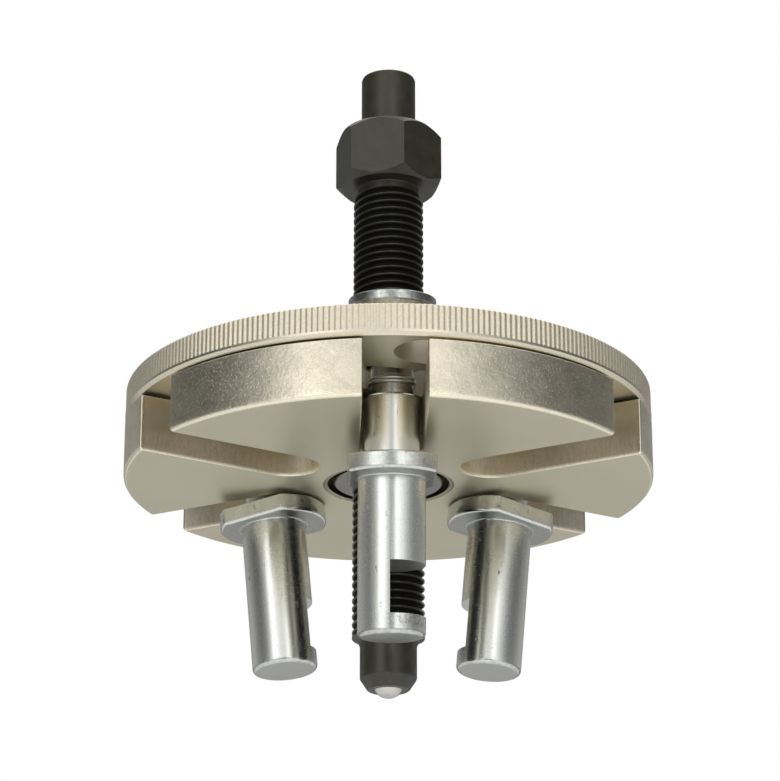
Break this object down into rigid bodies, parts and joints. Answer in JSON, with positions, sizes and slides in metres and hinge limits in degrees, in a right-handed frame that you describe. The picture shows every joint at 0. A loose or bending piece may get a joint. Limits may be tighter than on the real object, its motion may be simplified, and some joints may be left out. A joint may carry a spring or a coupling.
{
  "type": "three-jaw pulley puller",
  "caption": "Pulley puller with hook pins in a slotted plate, set in and out by a knurled scroll disc, and a central forcing screw with hexagon head.",
  "frame": {"origin": "on the spindle axis, in the plane of the guide plate's underside", "axes": "+Z along the spindle towards its hexagon, -Y along the radial slot of the front hook pin"},
  "size_m": [0.13, 0.13, 0.1641],
  "materials": {
    "satin_plate": "satin nickel, warm",
    "seat": "turned, warm",
    "zinc_pin": "satin zinc",
    "bush_steel": "turned bright steel",
    "spring_steel": "spring steel",
    "black_oxide": "black oxide on steel",
    "ball_steel": "polished"
  },
  "bodies": {
    "plate_unit": {"guide_plate": "satin_plate", "seat_ring": "seat", "centre_bush": "bush_steel", "thrust_washer": "spring_steel", "bush_circlip": "spring_steel"},
    "scroll": {"scroll_disc": "satin_plate"},
    "centring_ball": {"tip_ball": "ball_steel"},
    "spindle": {"spindle": "black_oxide"},
    "slider_front": {"scroll_bush_front": "zinc_pin"},
    "grip_front": {"grip_ring_front": "spring_steel", "pin_circlip_front": "spring_steel"},
    "hook_front": {"hook_pin_front": "zinc_pin"},
    "slider_right": {"scroll_bush_right": "zinc_pin"},
    "grip_right": {"grip_ring_right": "spring_steel", "pin_circlip_right": "spring_steel"},
    "hook_right": {"hook_pin_right": "zinc_pin"},
    "slider_left": {"scroll_bush_left": "zinc_pin"},
    "grip_left": {"grip_ring_left": "spring_steel", "pin_circlip_left": "spring_steel"},
    "hook_left": {"hook_pin_left": "zinc_pin"}
  },
  "joints": [
    {"name": "scroll_turn", "type": "hinge", "parent": "plate_unit", "child": "scroll", "pos_m": [0, 0, 0.0186], "axis": [0, 0, 1], "range_deg": [-33, 111]},
    {"name": "spindle_feed", "type": "slide", "parent": "plate_unit", "child": "centring_ball", "axis": [0, 0, 1], "range_m": [-0.05, 0.036]},
    {"name": "spindle_turn", "type": "hinge", "parent": "centring_ball", "child": "spindle", "pos_m": [0, 0, 0], "axis": [0, 0, 1], "range_deg": [-9001, 6481]},
    {"name": "reach_front", "type": "slide", "parent": "plate_unit", "child": "slider_front", "axis": [0, -1, 0], "range_m": [-0.0056, 0.0187]},
    {"name": "lift_front", "type": "slide", "parent": "slider_front", "child": "grip_front", "axis": [0, -0.1045, 0.9945], "range_m": [0, 0.0034]},
    {"name": "hook_turn_front", "type": "hinge", "parent": "grip_front", "child": "hook_front", "pos_m": [0, -0.03345, 0.00105], "axis": [0, -0.1045, 0.9945], "continuous": true},
    {"name": "reach_right", "type": "slide", "parent": "plate_unit", "child": "slider_right", "axis": [0.866, 0.5, 0], "range_m": [-0.0056, 0.0187]},
    {"name": "lift_right", "type": "slide", "parent": "slider_right", "child": "grip_right", "axis": [0.0905, 0.0523, 0.9945], "range_m": [-0.0031, 0.0003]},
    {"name": "hook_turn_right", "type": "hinge", "parent": "grip_right", "child": "hook_right", "pos_m": [0.02897, 0.01672, 0.00105], "axis": [0.0905, 0.0523, 0.9945], "continuous": true},
    {"name": "reach_left", "type": "slide", "parent": "plate_unit", "child": "slider_left", "axis": [-0.866, 0.5, 0], "range_m": [-0.0056, 0.0187]},
    {"name": "lift_left", "type": "slide", "parent": "slider_left", "child": "grip_left", "axis": [-0.0905, 0.0523, 0.9945], "range_m": [-0.0031, 0.0003]},
    {"name": "hook_turn_left", "type": "hinge", "parent": "grip_left", "child": "hook_left", "pos_m": [-0.02897, 0.01672, 0.00105], "axis": [-0.0905, 0.0523, 0.9945], "continuous": true}
  ],
  "couplings": [
    {"joint": "spindle_turn", "follows": "spindle_feed", "rad_per_m": 3141.6},
    {"joint": "reach_front", "follows": "scroll_turn", "m_per_rad": 0.0096448},
    {"joint": "reach_right", "follows": "scroll_turn", "m_per_rad": 0.0096448},
    {"joint": "reach_left", "follows": "scroll_turn", "m_per_rad": 0.0096448}
  ]
}
